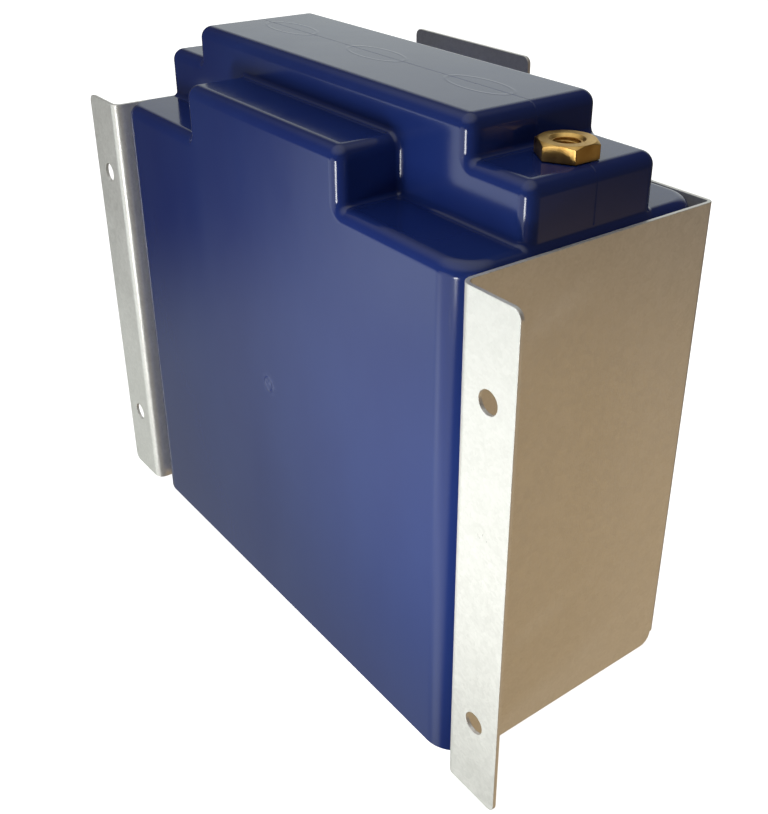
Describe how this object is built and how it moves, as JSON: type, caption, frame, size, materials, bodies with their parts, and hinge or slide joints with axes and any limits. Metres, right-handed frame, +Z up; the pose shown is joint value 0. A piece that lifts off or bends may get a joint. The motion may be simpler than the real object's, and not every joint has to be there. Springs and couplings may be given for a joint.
{
  "type": "dc-link film capacitor",
  "caption": "Rectangular DC-link film capacitor: stepped moulded housing with a threaded brass terminal at each end, held in a folded sheet metal hat bracket.",
  "frame": {"origin": "middle of the footprint, at the level the unit stands on", "axes": "+X along the ridge from the left terminal to the right one, -Y out of the face that the bracket's flanges share, +Z up"},
  "size_m": [0.292, 0.1148, 0.2356],
  "materials": {
    "navy_moulding": "glossy navy injection moulding",
    "galvanised_sheet": "galvanised sheet with fine spangle",
    "brass": "machined brass, unplated",
    "tinned_copper": "tinned copper sheet",
    "metallised_film": "wound metallised polypropylene film",
    "sprayed_zinc": "flame-sprayed zinc, grey and grainy",
    "insulation_board": "pressboard sheet",
    "potting_resin": "cast polyurethane resin",
    "tape": "double-sided foam tape"
  },
  "bodies": {
    "root": {"housing": "navy_moulding", "mounting_bracket": "galvanised_sheet", "bond_tape": "tape", "terminal_insert_left": "brass", "terminal_insert_right": "brass", "busbar_front": "tinned_copper", "busbar_back": "tinned_copper", "pack_wrap": "insulation_board", "row_separator": "insulation_board", "top_insulator": "insulation_board", "potting_resin": "potting_resin", "winding_1": "metallised_film", "winding_2": "metallised_film", "winding_3": "metallised_film", "winding_4": "metallised_film", "winding_5": "metallised_film", "winding_6": "metallised_film", "winding_7": "metallised_film", "winding_8": "metallised_film", "winding_9": "metallised_film", "winding_10": "metallised_film", "end_spray_front_1": "sprayed_zinc", "end_spray_front_2": "sprayed_zinc", "end_spray_front_3": "sprayed_zinc", "end_spray_front_4": "sprayed_zinc", "end_spray_front_5": "sprayed_zinc", "end_spray_front_6": "sprayed_zinc", "end_spray_front_7": "sprayed_zinc", "end_spray_front_8": "sprayed_zinc", "end_spray_front_9": "sprayed_zinc", "end_spray_front_10": "sprayed_zinc", "end_spray_back_1": "sprayed_zinc", "end_spray_back_2": "sprayed_zinc", "end_spray_back_3": "sprayed_zinc", "end_spray_back_4": "sprayed_zinc", "end_spray_back_5": "sprayed_zinc", "end_spray_back_6": "sprayed_zinc", "end_spray_back_7": "sprayed_zinc", "end_spray_back_8": "sprayed_zinc", "end_spray_back_9": "sprayed_zinc", "end_spray_back_10": "sprayed_zinc"}
  },
  "joints": []
}
